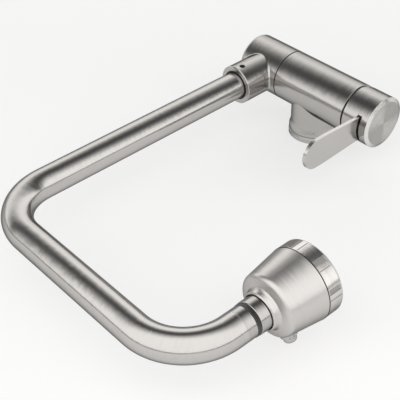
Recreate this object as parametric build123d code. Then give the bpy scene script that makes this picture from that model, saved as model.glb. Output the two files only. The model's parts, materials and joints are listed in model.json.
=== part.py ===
from build123d import *
import os
from math import cos, radians, sin, sqrt, tan

# A folding caravan mixer tap, in millimetres, in its folded position.
# The base stands on z = 0 round the origin. +X runs along the valve body to the
# handle, -Y to the user, +Z up. The spout lies level and runs out along -Y.

os.makedirs("parts", exist_ok=True)

# Main outline
AXIS_Z = 44.0
BODY_R = 22.5
BODY_LEFT = -29.5
BODY_RIGHT = 47.1
CAP_GAP = 1.6
CAP_LONG = 26.2
SEAM_GAP = 0.3
SEAM_EDGE = 0.15

# Spout
TUBE_R = 12.0
TUBE_WALL = 1.5
REACH = 293.0
SPAN = 210.0
BEND_R = 43.0

# Collar that the spout comes out of
WEAR_SPARE = 0.15
WEAR_THICK = 1.25
COLLAR_WALL = 3.85
COLLAR_REACH = 47.0
MARGIN_RIGHT = 5.45
MARGIN_LEFT = 3.25

# Clearances, broken edges, and how far a cut runs past what it cuts
RUN = 0.05
SEAT = 0.1
SLIP = 0.3
EDGE = 0.4
OVER = 1.0
FULL_TURN = 360

mouth_ring_r = TUBE_R + WEAR_SPARE + WEAR_THICK
collar_r = mouth_ring_r + COLLAR_WALL
barrel_right = BODY_LEFT - SEAM_GAP
collar_x = barrel_right - MARGIN_RIGHT - collar_r
barrel_end = collar_x - collar_r - MARGIN_LEFT
spigot_r = TUBE_R - TUBE_WALL

# Lines that the turned pieces are built on: distance along the line, then radius
BODY_LINE = Plane(origin=(0, 0, AXIS_Z), x_dir=(1, 0, 0), z_dir=(0, -1, 0))
SPOUT_LINE = Plane(origin=(collar_x, 0, AXIS_Z), x_dir=(0, -1, 0), z_dir=(-1, 0, 0))
HEAD_LINE = Plane(origin=(collar_x + SPAN, -REACH, AXIS_Z), x_dir=(0, 1, 0), z_dir=(1, 0, 0))
BASE_LINE = Plane(origin=(0, 0, 0), x_dir=(0, 0, 1), z_dir=(0, 1, 0))
UP = (0, 0, 1)
DOWN = (0, 0, -1)
FROM_LEFT = (Align.MIN, Align.CENTER, Align.CENTER)
FROM_LEFT_TO_USER = (Align.MIN, Align.MAX, Align.CENTER)


def axis_of(line):
    return Axis(line.origin, line.x_dir)


def turned(line, points, rounds=()):
    """A solid of revolution from (distance, radius) corners; rounds are (corner number, radius)."""
    outline = make_face(Polyline(*points, close=True))
    for number, radius in rounds:
        spot = Vector(points[number][0], points[number][1], 0)
        corner = min(outline.vertices(), key=lambda vertex: (Vector(*vertex) - spot).length)
        outline = fillet(corner, radius)
    return revolve(line * outline, axis=axis_of(line))


def ring(line, start, end, inner, outer):
    return turned(line, [(start, inner), (end, inner), (end, outer), (start, outer)])


def rod(line, start, end, radius):
    return ring(line, start, end, 0, radius)


def bevelled(line, start, end, inner, outer, bevel):
    """A ring with both outer edges broken."""
    corners = [(start, inner), (end, inner), (end, outer - bevel), (end - bevel, outer)]
    corners += [(start + bevel, outer), (start, outer - bevel)]
    return turned(line, corners)


def hole_along(line, start, end, radius, up=0, side=0):
    """A cylinder parallel to a line, shifted up and to the side."""
    drill = Cylinder(radius, end - start, align=(Align.CENTER, Align.CENTER, Align.MIN))
    return line * Pos(start, up, side) * Rot(0, 90, 0) * drill


def o_ring(line, middle, inner, outer):
    """A round seal that fills the height between two radii."""
    return line * Pos(middle, 0, 0) * Rot(0, 90, 0) * Torus((outer + inner) / 2, (outer - inner) / 2)


def spoke(point, direction, start, end, radius):
    """A cylinder along a direction, between two distances from a point."""
    drill = Cylinder(radius, end - start, align=(Align.CENTER, Align.CENTER, Align.MIN))
    return Plane(origin=point, z_dir=direction) * Pos(0, 0, start) * drill


def hex_pocket(point, direction, start, depth, flats):
    outline = RegularPolygon(flats / 2, 6, major_radius=False)
    return Plane(origin=point, z_dir=direction) * Pos(0, 0, start) * extrude(outline, depth)


def around(line, piece, number, count):
    return piece.rotate(axis_of(line), FULL_TURN * number / count)


def keep(name, *solids):
    """Writes one named piece; equal seals go in one piece as separate solids."""
    piece = solids[0] if len(solids) == 1 else Compound(children=list(solids))
    piece.label = name
    export_step(piece, f"parts/{name}.step")


# Base ring and seal under the neck
NECK_R = 21.0
NECK_WALL = 3.0
FOOT_PROUD = 1.3
RING_PROUD = 0.2
RING_HIGH = 4.7
LIP_HIGH = 2.3
LIP_WALL = 1.7
SEAL_HIGH = 2.4
SEAL_MARGIN = 1.25

foot_r = NECK_R + FOOT_PROUD
ring_r = foot_r + RING_PROUD
cup_r = NECK_R - NECK_WALL
lip_r = cup_r - SEAT
lip_top = RING_HIGH + LIP_HIGH
ring_bore = lip_r - LIP_WALL
ring_points = [(0, ring_bore), (lip_top, ring_bore), (lip_top, lip_r), (RING_HIGH, lip_r)]
ring_points += [(RING_HIGH, ring_r - EDGE), (RING_HIGH - EDGE, ring_r), (0, ring_r)]
base_seal = ring(BASE_LINE, 0, SEAL_HIGH, ring_bore + SEAL_MARGIN, ring_r - SEAL_MARGIN)
keep("base_ring", turned(BASE_LINE, ring_points) - base_seal)
keep("base_seal", base_seal)

# Cartridge stack, from the floor of its chamber outwards
FLOOR_X = 8.0
PORT_GASKET = 1.0
BASE_THICK = 4.0
FIXED_THICK = 4.0
MOVING_THICK = 5.2
TABLE_GAP = 0.5
TABLE_THICK = 7.3
HOUSING_LID = 2.9

gasket_end = FLOOR_X + PORT_GASKET
base_end = gasket_end + BASE_THICK
fixed_end = base_end + FIXED_THICK
moving_end = fixed_end + MOVING_THICK
table_start = moving_end + TABLE_GAP
table_end = table_start + TABLE_THICK
housing_lid = table_end + SLIP
housing_end = housing_lid + HOUSING_LID

# Valve body: neck and foot outside, waterways inside
FOOT_HIGH = 3.8
FOOT_ROUND = 1.5
FLARE_HIGH = 4.5
FLARE_ROUND = 3.0
SHADOW_LIFT = 1.1
SHADOW_HIGH = 0.7
SHADOW_DEEP = 0.6
CUP_TOP = 18.0
END_WALL = 10.0
MIX_R = 14.0
BARREL_WALL = 5.5
SPINDLE_SHARE = 0.7
SPINDLE_STEP = 1.0
CHAMBER_R = 17.6
MOUTH_STEP = 1.4
WALL_THICK = 13.0
RISER_SIDE = 7.5
RISER_R = 3.5
HOSE_R = 4.5
HOSE_DEEP = 10.0
STUD_X = -10.5
STUD_R = 3.4
STUD_DEEP = 9.5
PORT_R = 3.0
PORT_DROP = 3.5
OUTLET_R = 3.5
OUTLET_RISE = 8.5

plug_r = BODY_R - BARREL_WALL
spindle_r = plug_r * SPINDLE_SHARE
thread_r = spindle_r - SPINDLE_STEP
mouth_r = CHAMBER_R + MOUTH_STEP
wall_left = FLOOR_X - WALL_THICK
mix_left = BODY_LEFT + END_WALL
riser_x = FLOOR_X - WALL_THICK / 2
riser_top = AXIS_Z - PORT_DROP + PORT_R
foot_top = RING_HIGH + FOOT_HIGH
flare_top = foot_top + FLARE_HIGH
shadow_low = RING_HIGH + SHADOW_LIFT

valve_body = bevelled(BODY_LINE, BODY_LEFT, BODY_RIGHT, 0, BODY_R, SEAM_EDGE)
foot_points = [(RING_HIGH, 0), (RING_HIGH, foot_r), (foot_top, foot_r), (flare_top, NECK_R)]
foot_points += [(AXIS_Z, NECK_R), (AXIS_Z, 0)]
valve_body += turned(BASE_LINE, foot_points, [(2, FOOT_ROUND), (3, FLARE_ROUND)])
valve_body -= ring(BASE_LINE, shadow_low, shadow_low + SHADOW_HIGH, foot_r - SHADOW_DEEP, foot_r + OVER)
valve_body -= rod(BASE_LINE, 0, CUP_TOP, cup_r)
valve_body -= rod(BODY_LINE, BODY_LEFT - OVER, mix_left, thread_r)
valve_body -= rod(BODY_LINE, mix_left, wall_left, MIX_R)
valve_body -= rod(BODY_LINE, FLOOR_X, BODY_RIGHT + OVER, CHAMBER_R)
valve_body -= rod(BODY_LINE, housing_end, BODY_RIGHT + OVER, mouth_r)
valve_body -= hole_along(BODY_LINE, wall_left - OVER, FLOOR_X + OVER, OUTLET_R, OUTLET_RISE)
valve_body -= spoke((STUD_X, 0, CUP_TOP), UP, -OVER, STUD_DEEP, STUD_R)
for side in (-RISER_SIDE, RISER_SIDE):
    foot = (riser_x, side, CUP_TOP)
    valve_body -= spoke(foot, UP, -OVER, HOSE_DEEP, HOSE_R)
    valve_body -= spoke(foot, UP, HOSE_DEEP, riser_top - CUP_TOP, RISER_R)
    valve_body -= hole_along(BODY_LINE, riser_x, FLOOR_X + OVER, PORT_R, -PORT_DROP, side)
keep("valve_body", valve_body)

# Pivot: a hollow spindle fixed in the body, which the barrel turns on
SPINDLE_PROUD = 4.0
SPINDLE_WALL = 5.9
WATER_PAST = 3.5
WATER_GROOVE = 4.0
PORT_HOLE_R = 3.0
SEAL_DEEP = 1.8
SEAL_OFFSET = 7.2
SEAL_WIDTH = 2.4
DISC_THICK = 1.0
DISC_SPARE = 0.6
WASHER_THICK = 2.0
SCREW_R = 2.5
SCREW_BITE = 5.9
SCREW_HEAD_R = 5.0
SCREW_HEAD = 2.8
SCREW_ROUND = 0.6
SCREW_KEY = 4.0
SCREW_KEY_DEEP = 2.0
PLUG_THICK = 3.0
PLUG_SPARE = 0.7

disc_outer = plug_r - DISC_SPARE
groove_floor = spindle_r - SEAL_DEEP
water_r = spindle_r - SPINDLE_WALL
screw_top = barrel_end + PLUG_THICK + PLUG_SPARE
washer_left = screw_top + SCREW_HEAD
spindle_end = washer_left + WASHER_THICK
floor_left = spindle_end + DISC_THICK + 2 * SEAT
spindle_in = mix_left + SPINDLE_PROUD
tap_end = spindle_end + SCREW_BITE + EDGE
seal_places = (collar_x - SEAL_OFFSET, collar_x + SEAL_OFFSET)

spindle_points = [(spindle_in, 0), (spindle_in, thread_r), (BODY_LEFT, thread_r), (BODY_LEFT, spindle_r)]
spindle_points += [(spindle_end, spindle_r), (spindle_end, 0)]
pivot_spindle = turned(BODY_LINE, spindle_points)
pivot_spindle -= rod(BODY_LINE, collar_x - WATER_PAST, spindle_in + OVER, water_r)
pivot_spindle -= ring(BODY_LINE, collar_x - WATER_GROOVE, collar_x + WATER_GROOVE, groove_floor, BODY_R)
for way in ((0, 1, 0), UP):
    pivot_spindle -= spoke((collar_x, 0, AXIS_Z), way, -spindle_r, spindle_r, PORT_HOLE_R)
for place in seal_places:
    pivot_spindle -= ring(BODY_LINE, place - SEAL_WIDTH / 2, place + SEAL_WIDTH / 2, groove_floor, BODY_R)
pivot_spindle -= rod(BODY_LINE, spindle_end - OVER, tap_end, SCREW_R + RUN)
keep("pivot_spindle", pivot_spindle)
keep("pivot_o_rings", *[o_ring(BODY_LINE, place, groove_floor, spindle_r) for place in seal_places])
disc_inner = spindle_r + DISC_SPARE
keep("friction_disc", ring(BODY_LINE, spindle_end + SEAT, floor_left - SEAT, disc_inner, disc_outer))
keep("retaining_washer", ring(BODY_LINE, washer_left, spindle_end, SCREW_R + SLIP, disc_outer))

screw_tip = spindle_end + SCREW_BITE
screw_points = [(screw_tip, 0), (screw_tip, SCREW_R), (washer_left, SCREW_R)]
screw_points += [(washer_left, SCREW_HEAD_R), (screw_top, SCREW_HEAD_R), (screw_top, 0)]
retaining_screw = turned(BODY_LINE, screw_points, [(4, SCREW_ROUND)])
retaining_screw -= hex_pocket((screw_top, 0, AXIS_Z), (1, 0, 0), -OVER, OVER + SCREW_KEY_DEEP, SCREW_KEY)
keep("retaining_screw", retaining_screw)

# Barrel with the collar that carries the spout
BARREL_ROUND = 2.5
SLIP_THICK = 1.6
COLLAR_EDGE = 0.5
COLLAR_FILLET = 1.8
FEED_R = 5.0
FEED_LONG = 4.0
GUIDE_STEP = 2.0
GUIDE_LONG = 10.1
MOUTH_DEEP = 3.7
WEAR_BACK = 0.6
GRUB_BACK = 2.7
GRUB_R = 2.45
GRUB_TURN = 6.0

nipple_chamber_r = TUBE_R - GUIDE_STEP
nipple_room = spindle_r + FEED_LONG
guide_end = COLLAR_REACH - MOUTH_DEEP
chamber_end = guide_end - GUIDE_LONG
slip_left = BODY_LEFT - SEAT - SLIP_THICK
grub_place = guide_end - GRUB_BACK
grub_point = (collar_x, -grub_place, AXIS_Z)
grub_way = (sin(radians(GRUB_TURN)), 0, cos(radians(GRUB_TURN)))

barrel_points = [(barrel_end, 0), (barrel_end, BODY_R), (barrel_right - SEAM_EDGE, BODY_R)]
barrel_points += [(barrel_right, BODY_R - SEAM_EDGE), (barrel_right, 0)]
swivel_barrel = turned(BODY_LINE, barrel_points, [(1, BARREL_ROUND)])
collar_points = [(0, 0), (0, collar_r), (COLLAR_REACH - COLLAR_EDGE, collar_r)]
collar_points += [(COLLAR_REACH, collar_r - COLLAR_EDGE), (COLLAR_REACH, 0)]
swivel_barrel += turned(SPOUT_LINE, collar_points)
collar_seam = swivel_barrel.edges().filter_by(GeomType.CIRCLE, reverse=True).filter_by(GeomType.LINE, reverse=True)
swivel_barrel = fillet(collar_seam, COLLAR_FILLET)
swivel_barrel -= rod(BODY_LINE, barrel_end - OVER, barrel_right + OVER, spindle_r + RUN)
swivel_barrel -= rod(BODY_LINE, barrel_end - OVER, floor_left, plug_r)
swivel_barrel -= rod(BODY_LINE, slip_left - SEAT, barrel_right + OVER, plug_r + SEAT)
swivel_barrel -= rod(SPOUT_LINE, 0, nipple_room + OVER, FEED_R)
swivel_barrel -= rod(SPOUT_LINE, nipple_room, chamber_end + OVER, nipple_chamber_r)
swivel_barrel -= rod(SPOUT_LINE, chamber_end, guide_end + OVER, TUBE_R)
swivel_barrel -= rod(SPOUT_LINE, guide_end, COLLAR_REACH + OVER, mouth_ring_r)
swivel_barrel -= spoke(grub_point, grub_way, TUBE_R - OVER, collar_r + OVER, GRUB_R + RUN)
keep("swivel_barrel", swivel_barrel)

keep("slip_washer", ring(BODY_LINE, slip_left, BODY_LEFT - SEAT, spindle_r + SLIP, plug_r))
plug_points = [(barrel_end, 0), (barrel_end, plug_r - EDGE), (barrel_end + EDGE, plug_r)]
plug_points += [(barrel_end + PLUG_THICK, plug_r), (barrel_end + PLUG_THICK, 0)]
keep("barrel_end_plug", turned(BODY_LINE, plug_points))
wear_end = COLLAR_REACH - WEAR_BACK
keep("collar_wear_ring", ring(SPOUT_LINE, guide_end, wear_end, TUBE_R + WEAR_SPARE, mouth_ring_r))

# Spout nipple that turns in the collar
NECKING_DEEP = 1.5
NECKING_HALF = 1.9
TUBE_PAST = 0.7
SPIGOT_LONG = 8.0
NIPPLE_BORE = 6.5
NIPPLE_SEAL_FIRST = 3.8

necking_r = TUBE_R - NECKING_DEEP
nipple_r = nipple_chamber_r - RUN
nipple_groove = nipple_chamber_r - SEAL_DEEP
nipple_start = nipple_room + EDGE
shoulder = chamber_end + SLIP
tube_start = guide_end + TUBE_PAST
spigot_end = tube_start + SPIGOT_LONG
first_seal = nipple_start + NIPPLE_SEAL_FIRST
nipple_seals = (first_seal, first_seal + SEAL_OFFSET)

nipple_points = [(nipple_start, NIPPLE_BORE), (spigot_end, NIPPLE_BORE), (spigot_end, spigot_r)]
nipple_points += [(tube_start, spigot_r), (tube_start, TUBE_R - RUN), (shoulder, TUBE_R - RUN)]
nipple_points += [(shoulder, nipple_r), (nipple_start, nipple_r)]
spout_nipple = turned(SPOUT_LINE, nipple_points)
spout_nipple -= ring(SPOUT_LINE, grub_place - NECKING_HALF, grub_place + NECKING_HALF, necking_r, collar_r)
for place in nipple_seals:
    spout_nipple -= ring(SPOUT_LINE, place - SEAL_WIDTH / 2, place + SEAL_WIDTH / 2, nipple_groove, collar_r)
keep("spout_nipple", spout_nipple)
keep("spout_o_rings", *[o_ring(SPOUT_LINE, place, nipple_groove, nipple_r) for place in nipple_seals])

# Grub screw whose tip runs in the nipple's groove
GRUB_TIP_GAP = 0.45
GRUB_TIP_R = 1.5
GRUB_SINK = 1.05
GRUB_KEY = 2.5
GRUB_KEY_DEEP = 2.2

grub_top = collar_r - GRUB_SINK
grub_step = TUBE_R + EDGE
grub_screw = spoke(grub_point, grub_way, grub_step, grub_top, GRUB_R)
grub_screw += spoke(grub_point, grub_way, necking_r + GRUB_TIP_GAP, grub_step, GRUB_TIP_R)
grub_screw -= hex_pocket(grub_point, grub_way, grub_top - GRUB_KEY_DEEP, GRUB_KEY_DEEP + OVER, GRUB_KEY)
keep("collar_grub_screw", grub_screw)

# Spout tube with two bends, and the sleeve on its end
SLEEVE_SPIGOT = 5.0
TAIL_SPARE = 0.5
SLEEVE_LONG = 8.0
SLEEVE_THICK = 4.0
SLEEVE_LIP = 1.3
SLEEVE_LIP_HIGH = 1.5
SEAM_BREAK = 0.25

tube_end = BEND_R + SLEEVE_SPIGOT + TAIL_SPARE
start = Vector(collar_x, -tube_start, AXIS_Z)
bend_one_in = Vector(collar_x, BEND_R - REACH, AXIS_Z)
bend_one_out = Vector(collar_x + BEND_R, -REACH, AXIS_Z)
bend_two_in = Vector(collar_x + SPAN - BEND_R, -REACH, AXIS_Z)
bend_two_out = Vector(collar_x + SPAN, BEND_R - REACH, AXIS_Z)
finish = Vector(collar_x + SPAN, tube_end - REACH, AXIS_Z)
path = Line(start, bend_one_in) + TangentArc(bend_one_in, bend_one_out, tangent=(0, -1, 0))
path += Line(bend_one_out, bend_two_in) + TangentArc(bend_two_in, bend_two_out, tangent=(1, 0, 0))
path += Line(bend_two_out, finish)
section = Plane(origin=start, z_dir=(0, -1, 0)) * (Circle(TUBE_R) - Circle(spigot_r))
keep("spout_tube", sweep(section, path=path))

sleeve_bore = TUBE_R - SLEEVE_THICK
sleeve_lip_r = sleeve_bore - SLEEVE_LIP_HIGH
sleeve_start = tube_end - SLEEVE_SPIGOT
sleeve_end = tube_end + SLEEVE_LONG
gasket_start = sleeve_start + SLEEVE_LIP
sleeve_points = [(sleeve_start, sleeve_lip_r), (gasket_start, sleeve_lip_r), (gasket_start, sleeve_bore)]
sleeve_points += [(sleeve_end, sleeve_bore), (sleeve_end, TUBE_R - EDGE), (sleeve_end - EDGE, TUBE_R)]
sleeve_points += [(tube_end + SEAM_BREAK, TUBE_R), (tube_end, TUBE_R - SEAM_BREAK)]
sleeve_points += [(tube_end, spigot_r), (sleeve_start, spigot_r)]
keep("end_sleeve", turned(HEAD_LINE, sleeve_points))

# Ball swivel between the sleeve and the spray head
OUTLET_GASKET = 1.2
ADAPTER_BORE = 4.0
ADAPTER_HEAD_LONG = 3.3
GRIP_WIDE = 3.0
GRIP_PROUD = 0.35
GRIP_NOTCHES = 30
GRIP_NOTCH_R = 0.5
NUT_PROUD = 0.65
NUT_WALL = 2.25
NUT_ROUND = 1.2
NUT_EDGE = 0.5
NUT_STRAIGHT = 0.4
NUT_REACH = 3.2
NOSE_STEP = 3.25
BALL_SET = 5.0
BALL_R = 7.0
BALL_SEAL_LONG = 1.7
BALL_SEAL_GAP = 0.15

swivel_nut_r = TUBE_R + NUT_PROUD
adapter_head_r = swivel_nut_r - NUT_WALL
adapter_r = sleeve_bore - RUN
adapter_start = gasket_start + OUTLET_GASKET
grip_r = TUBE_R + GRIP_PROUD
grip_start = sleeve_end + SEAT
grip_end = grip_start + GRIP_WIDE
swivel_start = grip_end + SEAT
adapter_end = swivel_start + ADAPTER_HEAD_LONG
ball_at = adapter_end + BALL_SET
ball_point = HEAD_LINE.from_local_coords(Vector(ball_at, 0, 0))
nut_inside = adapter_end + SEAT
nut_nose = ball_at + NUT_REACH
seal_front = nut_inside + BALL_SEAL_LONG

keep("outlet_gasket", ring(HEAD_LINE, gasket_start, adapter_start, ADAPTER_BORE, adapter_r))
adapter_points = [(adapter_start, ADAPTER_BORE), (adapter_end, ADAPTER_BORE), (adapter_end, adapter_head_r)]
adapter_points += [(swivel_start, adapter_head_r), (swivel_start, adapter_r), (adapter_start, adapter_r)]
keep("swivel_adapter", turned(HEAD_LINE, adapter_points) - Pos(*ball_point) * Sphere(BALL_R + SEAT))

grip_ring = bevelled(HEAD_LINE, grip_start, grip_end, sleeve_bore, grip_r, EDGE)
for number in range(GRIP_NOTCHES):
    notch = hole_along(HEAD_LINE, sleeve_end, swivel_start, GRIP_NOTCH_R, grip_r + GRIP_NOTCH_R / 4)
    grip_ring -= around(HEAD_LINE, notch, number, GRIP_NOTCHES)
keep("grip_ring", grip_ring)

nut_points = [(swivel_start, adapter_head_r + RUN), (nut_inside, adapter_head_r + RUN), (nut_inside, 0)]
nut_points += [(nut_nose, 0), (nut_nose, swivel_nut_r - NOSE_STEP), (ball_at + NUT_STRAIGHT, swivel_nut_r)]
nut_points += [(swivel_start, swivel_nut_r)]
swivel_nut = turned(HEAD_LINE, nut_points, [(5, NUT_ROUND), (6, NUT_EDGE)])
swivel_nut -= Pos(*ball_point) * Sphere(BALL_R + RUN)
swivel_nut -= rod(HEAD_LINE, adapter_end, ball_at, BALL_R + RUN)
keep("swivel_nut", swivel_nut)


def ball_width(place):
    return sqrt(BALL_R**2 - (ball_at - place) ** 2) + BALL_SEAL_GAP


seal_points = [(nut_inside, ball_width(nut_inside)), (nut_inside, BALL_R)]
seal_points += [(seal_front, BALL_R), (seal_front, ball_width(seal_front))]
keep("ball_seal", turned(HEAD_LINE, seal_points))

# Spray head shell and the stem that hangs it on the ball
MOUTH_LEAD = 0.6
MOUTH_SLOPE = 0.8
RECESS_SPARE = 0.7
RECESS_DEEP = 5.8
REAR_WALL = 3.6
LIP_LONG = 2.6
LIP_RIM = 1.85
LIP_SLOPE = 0.9
LIP_ROUND = 0.6
COVE_LONG = 1.3
COVE_RISE = 0.9
COVE_ROUND = 1.0
BACK_LONG = 0.8
BACK_RISE = 3.4
SHOULDER_LONG = 1.2
SHOULDER_R = 23.6
SHOULDER_ROUND = 4.0
CONE_LONG = 30.2
SHELL_R = 28.0
SHELL_WALL = 1.8
INNER_BEVEL = 1.6
STEM_NECK_R = 4.5
STEM_THREAD_R = 6.5
STEM_THREAD_LEAD = 0.8
STEM_THREAD_PAST = 1.8
STEM_BORE = 3.0

recess_r = swivel_nut_r + RECESS_SPARE
lip_outer = recess_r + LIP_RIM
cove_r = lip_outer + COVE_RISE
inner_r = SHOULDER_R - SHELL_WALL
mouth_at = ball_at + MOUTH_LEAD
recess_floor = mouth_at + RECESS_DEEP
rear_wall = recess_floor + REAR_WALL
lip_start = mouth_at + MOUTH_SLOPE
lip_end = lip_start + LIP_LONG
cove_end = lip_end + COVE_LONG
back_end = cove_end + BACK_LONG
shoulder_at = back_end + SHOULDER_LONG
shell_end = shoulder_at + CONE_LONG
stem_step = recess_floor - STEM_THREAD_LEAD
stem_end = rear_wall + STEM_THREAD_PAST

ball_stem = Pos(*ball_point) * Sphere(BALL_R)
ball_stem += rod(HEAD_LINE, ball_at, stem_step, STEM_NECK_R)
ball_stem += rod(HEAD_LINE, stem_step, stem_end, STEM_THREAD_R)
ball_stem -= rod(HEAD_LINE, ball_at - BALL_R - OVER, stem_end + OVER, STEM_BORE)
keep("ball_stem", ball_stem)


def shell_radius(place):
    """Outer radius of the shell's cone at a place on the head line."""
    return SHOULDER_R + (SHELL_R - SHOULDER_R) * (place - shoulder_at) / CONE_LONG


DIVERTER_BACK = 6.0
DIVERTER_TURN = 150.0
BUTTON_R = 4.9
BUTTON_PROUD = 6.3
BUTTON_ROUND = 3.4
BUTTON_SHAFT_R = 3.5
BUTTON_TIP = 4.6
BUTTON_HANG = 0.8
BUSH_WALL = 1.1
BUSH_PROUD = 1.4
BUSH_DEEP = 2.5
CORE_HUB_R = 10.5

diverter_at = rear_wall + DIVERTER_BACK
diverter_point = HEAD_LINE.from_local_coords(Vector(diverter_at, 0, 0))
diverter_way = (sin(radians(DIVERTER_TURN)), 0, cos(radians(DIVERTER_TURN)))
bush_r = BUTTON_R + BUSH_WALL
bush_low = shell_radius(diverter_at) - BUSH_DEEP
bush_top = shell_radius(diverter_at) + BUSH_PROUD
button_top = shell_radius(diverter_at) + BUTTON_PROUD

shell_points = [(mouth_at, recess_r), (lip_start, lip_outer - LIP_SLOPE), (lip_end, lip_outer)]
shell_points += [(cove_end, cove_r), (back_end, cove_r + BACK_RISE), (shoulder_at, SHOULDER_R)]
shell_points += [(shell_end, SHELL_R), (shell_end, SHELL_R - SHELL_WALL), (rear_wall + INNER_BEVEL, inner_r)]
shell_points += [(rear_wall, inner_r - INNER_BEVEL), (rear_wall, STEM_THREAD_R)]
shell_points += [(recess_floor, STEM_THREAD_R), (recess_floor, recess_r)]
head_shell = turned(HEAD_LINE, shell_points, [(5, SHOULDER_ROUND), (3, COVE_ROUND), (2, LIP_ROUND)])
head_shell -= spoke(diverter_point, diverter_way, CORE_HUB_R, button_top, bush_r)
keep("head_shell", head_shell)

# Core inside the shell, with the clip that holds the turning front ring
CORE_HUB_LONG = 17.8
FLANGE_THICK = 3.0
CUP_SPARE = 0.7
CUP_WALL = 2.0
CUP_PROUD = 6.0
JET_TUBE_R = 8.4
JET_WALL = 1.5
SPRAY_HOLES = 6
SPRAY_HOLE_R = 2.4
CLIP_LEAD = 1.6
CLIP_THICK = 1.2
CLIP_SINK = 0.9
CLIP_PROUD = 0.8
CLIP_OPEN = 24.0

core_start = rear_wall + 2 * SEAT
core_flange = core_start + CORE_HUB_LONG
core_floor = core_flange + FLANGE_THICK
cup_outer = shell_radius(core_flange) - SHELL_WALL - CUP_SPARE
cup_inner = cup_outer - CUP_WALL
cup_end = shell_end + CUP_PROUD
jet_bore = JET_TUBE_R - JET_WALL
ring_start = shell_end + SLIP
front_bore = cup_outer + SEAT
clip_at = ring_start + CLIP_LEAD
clip_end = clip_at + CLIP_THICK
clip_inner = cup_outer - CLIP_SINK
clip_outer = front_bore + CLIP_PROUD

head_core = rod(HEAD_LINE, core_start, core_flange, CORE_HUB_R)
head_core += rod(HEAD_LINE, core_flange, core_floor, cup_outer)
head_core += ring(HEAD_LINE, core_flange, cup_end, cup_inner, cup_outer)
head_core += rod(HEAD_LINE, core_flange, cup_end, JET_TUBE_R)
head_core -= rod(HEAD_LINE, core_start - OVER, stem_end + SEAT, STEM_THREAD_R)
head_core -= rod(HEAD_LINE, stem_end, cup_end, STEM_BORE)
head_core -= rod(HEAD_LINE, core_floor, cup_end + OVER, jet_bore)
head_core -= spoke(diverter_point, diverter_way, -CORE_HUB_R / 2, CORE_HUB_R + OVER, BUTTON_SHAFT_R + SEAT)
hole_way = (JET_TUBE_R + cup_inner) / 2
hole = hole_along(HEAD_LINE, core_flange - OVER, core_floor + OVER, SPRAY_HOLE_R, hole_way)
for number in range(SPRAY_HOLES):
    head_core -= around(HEAD_LINE, hole, number, SPRAY_HOLES)
head_core -= ring(HEAD_LINE, clip_at - SEAT, clip_end + SEAT, clip_inner - SEAT, SHELL_R)
keep("head_core", head_core)


def arc_piece(start, end, inner, outer, first, arc):
    """Part of a ring on the head line, over an arc from one angle, counted from up towards +X."""
    outline = make_face(Polyline((start, inner), (end, inner), (end, outer), (start, outer), close=True))
    piece = revolve(HEAD_LINE * outline, axis=axis_of(HEAD_LINE), revolution_arc=arc)
    return piece.rotate(axis_of(HEAD_LINE), first)


keep("front_ring_clip", arc_piece(clip_at, clip_end, clip_inner, clip_outer, 0, FULL_TURN - CLIP_OPEN))

# Diverter button and the bush it slides in
diverter_bush = spoke(diverter_point, diverter_way, bush_low, bush_top, bush_r)
diverter_bush -= spoke(diverter_point, diverter_way, bush_low - OVER, bush_top + OVER, BUTTON_R + SEAT)
keep("diverter_bush", diverter_bush)
button_line = Plane(origin=diverter_point, x_dir=diverter_way, z_dir=(0, 1, 0))
button_step = bush_low - BUTTON_HANG
button_points = [(BUTTON_TIP, 0), (BUTTON_TIP, BUTTON_SHAFT_R), (button_step, BUTTON_SHAFT_R)]
button_points += [(button_step, BUTTON_R), (button_top, BUTTON_R), (button_top, 0)]
keep("diverter_button", turned(button_line, button_points, [(4, BUTTON_ROUND)]))

# Turning front ring
FRONT_LONG = 12.8
FRONT_PROUD = 0.1
FRONT_ROUND = 1.3
PLATE_SPARE = 0.3
PLATE_THICK = 2.4
MAT_THICK = 1.5
FRONT_LIP = 1.3
GRIPS = 8
GRIP_FIRST = 19.5
GRIP_ARC = 8.5
GRIP_DEEP = 0.4
GRIP_BACK = 0.7
GRIP_FRONT = 1.6
LINE_AFTER = 16.5
LINE_ARC = 1.3
LINE_DEEP = 0.35

front_r = SHELL_R + FRONT_PROUD
front_end = ring_start + FRONT_LONG
mat_seat = cup_end + EDGE
mat_start = mat_seat + SEAT
mat_end = mat_start + MAT_THICK
plate_start = mat_end + SEAT
plate_end = plate_start + PLATE_THICK
plate_r = front_bore + PLATE_SPARE
lip_bore = plate_r - FRONT_LIP
front_points = [(ring_start, front_bore), (mat_seat, front_bore), (mat_seat, plate_r), (plate_end, plate_r)]
front_points += [(plate_end, lip_bore), (front_end, lip_bore), (front_end, front_r), (ring_start, front_r)]
front_ring = turned(HEAD_LINE, front_points, [(6, FRONT_ROUND)])
front_ring -= ring(HEAD_LINE, clip_at - SEAT, clip_end + SEAT, cup_outer, clip_outer + SEAT)
grips_end = front_end - GRIP_FRONT
for number in range(GRIPS):
    first = GRIP_FIRST + FULL_TURN * number / GRIPS
    for turn, arc, depth in ((first, GRIP_ARC, GRIP_DEEP), (first + LINE_AFTER, LINE_ARC, LINE_DEEP)):
        front_ring -= arc_piece(ring_start + GRIP_BACK, grips_end, front_r - depth, front_r + OVER, turn, arc)
keep("front_ring", front_ring)

# Spray plate and the soft nozzle mat behind it
NOZZLE_R = 1.0
NOZZLE_HOLE_R = 0.4
NOZZLE_SINK = 1.2
NOZZLE_MARGIN = 3.3
NOZZLE_ROW = 4.5
NOZZLE_COUNTS = (8, 14, 20)

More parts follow.
